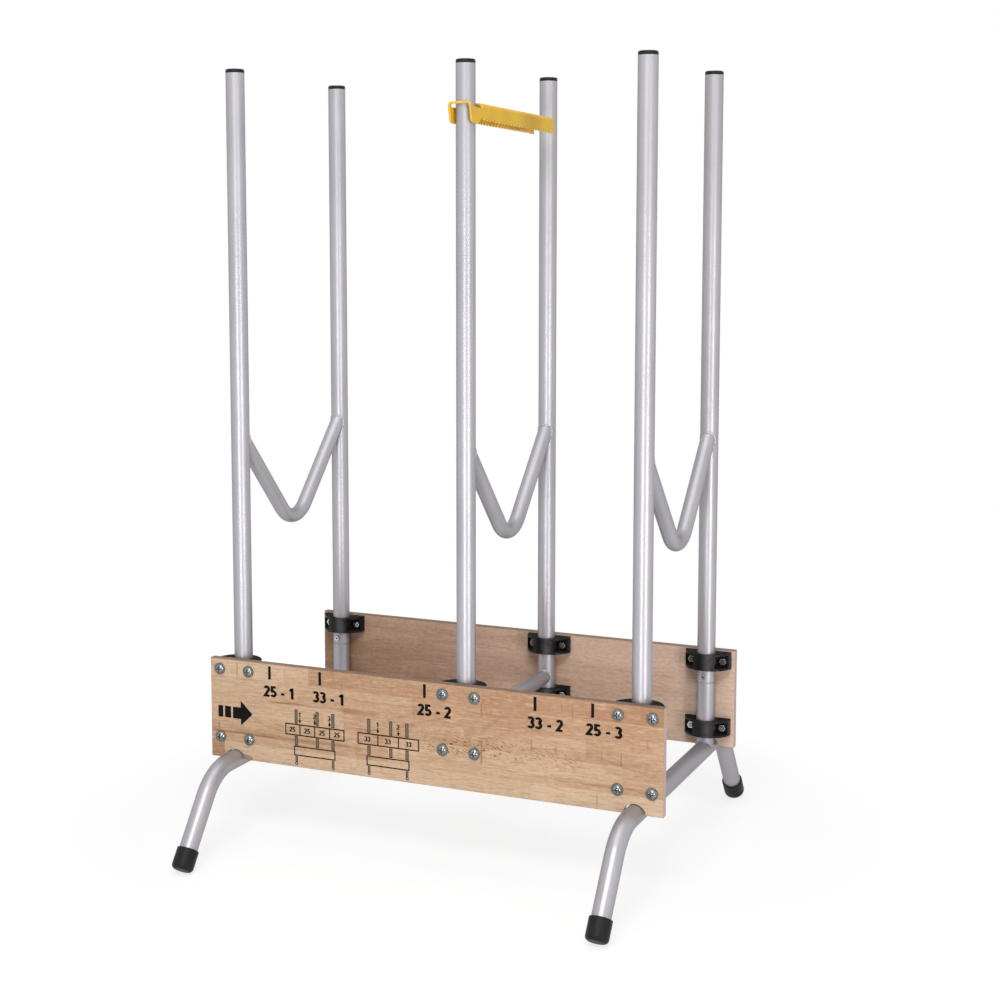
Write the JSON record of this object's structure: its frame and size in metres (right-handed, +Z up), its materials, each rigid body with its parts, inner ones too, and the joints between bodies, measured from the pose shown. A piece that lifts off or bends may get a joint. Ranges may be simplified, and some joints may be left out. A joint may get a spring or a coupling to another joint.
{
  "type": "log saw stand",
  "caption": "Folding log saw stand: tall tube frames with V cradles turn in clips on slatted boards, splayed legs with rubber feet, toothed clamp sliding on an upright.",
  "frame": {"origin": "on the floor under the middle of the boards, midway between front and rear", "axes": "+Z up, X along the boards, -Y towards the front with the length marks"},
  "size_m": [0.7, 0.672, 1.132],
  "materials": {
    "beech": "satin",
    "clip_plastic": "matte",
    "zinc": "satin",
    "tube_paint": "satin",
    "plug_plastic": "matte",
    "foot_rubber": "matte",
    "clamp_paint": "satin"
  },
  "bodies": {
    "left_frame": {"upright_fl": "tube_paint", "upright_rl": "tube_paint", "cradle_left": "tube_paint", "foot_bow_left": "tube_paint", "stub_fl": "tube_paint", "stub_rl": "tube_paint", "plug_rl": "plug_plastic", "foot_fl": "foot_rubber", "foot_rl": "foot_rubber", "joint_screws_left": "zinc"},
    "left_slider": {"plug_fl": "plug_plastic"},
    "front_rail": {"front_board": "beech", "clip_fl_up": "clip_plastic", "clip_fl_low": "clip_plastic", "clip_fm_up": "clip_plastic", "clip_fm_low": "clip_plastic", "clip_fr_up": "clip_plastic", "clip_fr_low": "clip_plastic", "front_screws": "zinc", "front_washers": "zinc", "front_nuts": "zinc"},
    "middle_frame": {"upright_fm": "tube_paint", "upright_rm": "tube_paint", "cradle_mid": "tube_paint", "cross_tube": "tube_paint", "plug_rm": "plug_plastic"},
    "rear_rail": {"rear_board": "beech", "clip_rl_up": "clip_plastic", "clip_rl_low": "clip_plastic", "clip_rm_up": "clip_plastic", "clip_rm_low": "clip_plastic", "clip_rr_up": "clip_plastic", "clip_rr_low": "clip_plastic", "rear_screws": "zinc", "rear_washers": "zinc", "rear_nuts": "zinc"},
    "right_slider": {"plug_fr": "plug_plastic"},
    "right_frame": {"upright_fr": "tube_paint", "upright_rr": "tube_paint", "cradle_right": "tube_paint", "foot_bow_right": "tube_paint", "stub_fr": "tube_paint", "stub_rr": "tube_paint", "plug_rr": "plug_plastic", "foot_fr": "foot_rubber", "foot_rr": "foot_rubber", "joint_screws_right": "zinc"},
    "clamp_carrier": {"plug_fm": "plug_plastic"},
    "clamp": {"log_clamp": "clamp_paint"}
  },
  "joints": [
    {"name": "fold_left", "type": "hinge", "parent": "left_frame", "child": "left_slider", "pos_m": [-0.31, -0.152, 1.1265], "axis": [0, 0, 1], "range_deg": [0, 70]},
    {"name": "lift_left", "type": "slide", "parent": "left_slider", "child": "front_rail", "axis": [0, 0, 1], "range_m": [0, 0.062]},
    {"name": "fold_middle", "type": "hinge", "parent": "front_rail", "child": "middle_frame", "pos_m": [0.052, -0.152, 0.26], "axis": [0, 0, -1], "range_deg": [0, 70]},
    {"name": "fold_rear_rail", "type": "hinge", "parent": "middle_frame", "child": "rear_rail", "pos_m": [0.052, 0.152, 0.26], "axis": [0, 0, 1], "range_deg": [0, 70]},
    {"name": "lift_right", "type": "slide", "parent": "front_rail", "child": "right_slider", "axis": [0, 0, -1], "range_m": [0, 0.062]},
    {"name": "fold_right", "type": "hinge", "parent": "right_slider", "child": "right_frame", "pos_m": [0.31, -0.152, 1.1265], "axis": [0, 0, -1], "range_deg": [0, 70]},
    {"name": "clamp_swivel", "type": "hinge", "parent": "middle_frame", "child": "clamp_carrier", "pos_m": [0.052, -0.152, 1.1265], "axis": [0, 0, 1], "range_deg": [-60, 60]},
    {"name": "clamp_slide", "type": "slide", "parent": "clamp_carrier", "child": "clamp", "axis": [0, 0, 1], "range_m": [-0.42, 0.05]}
  ],
  "couplings": [
    {"joint": "lift_left", "follows": "fold_left", "m_per_rad": 0.05},
    {"joint": "fold_middle", "follows": "fold_left", "ratio": 1},
    {"joint": "fold_rear_rail", "follows": "fold_left", "ratio": 1},
    {"joint": "lift_right", "follows": "fold_left", "m_per_rad": 0.05},
    {"joint": "fold_right", "follows": "fold_left", "ratio": 1}
  ]
}
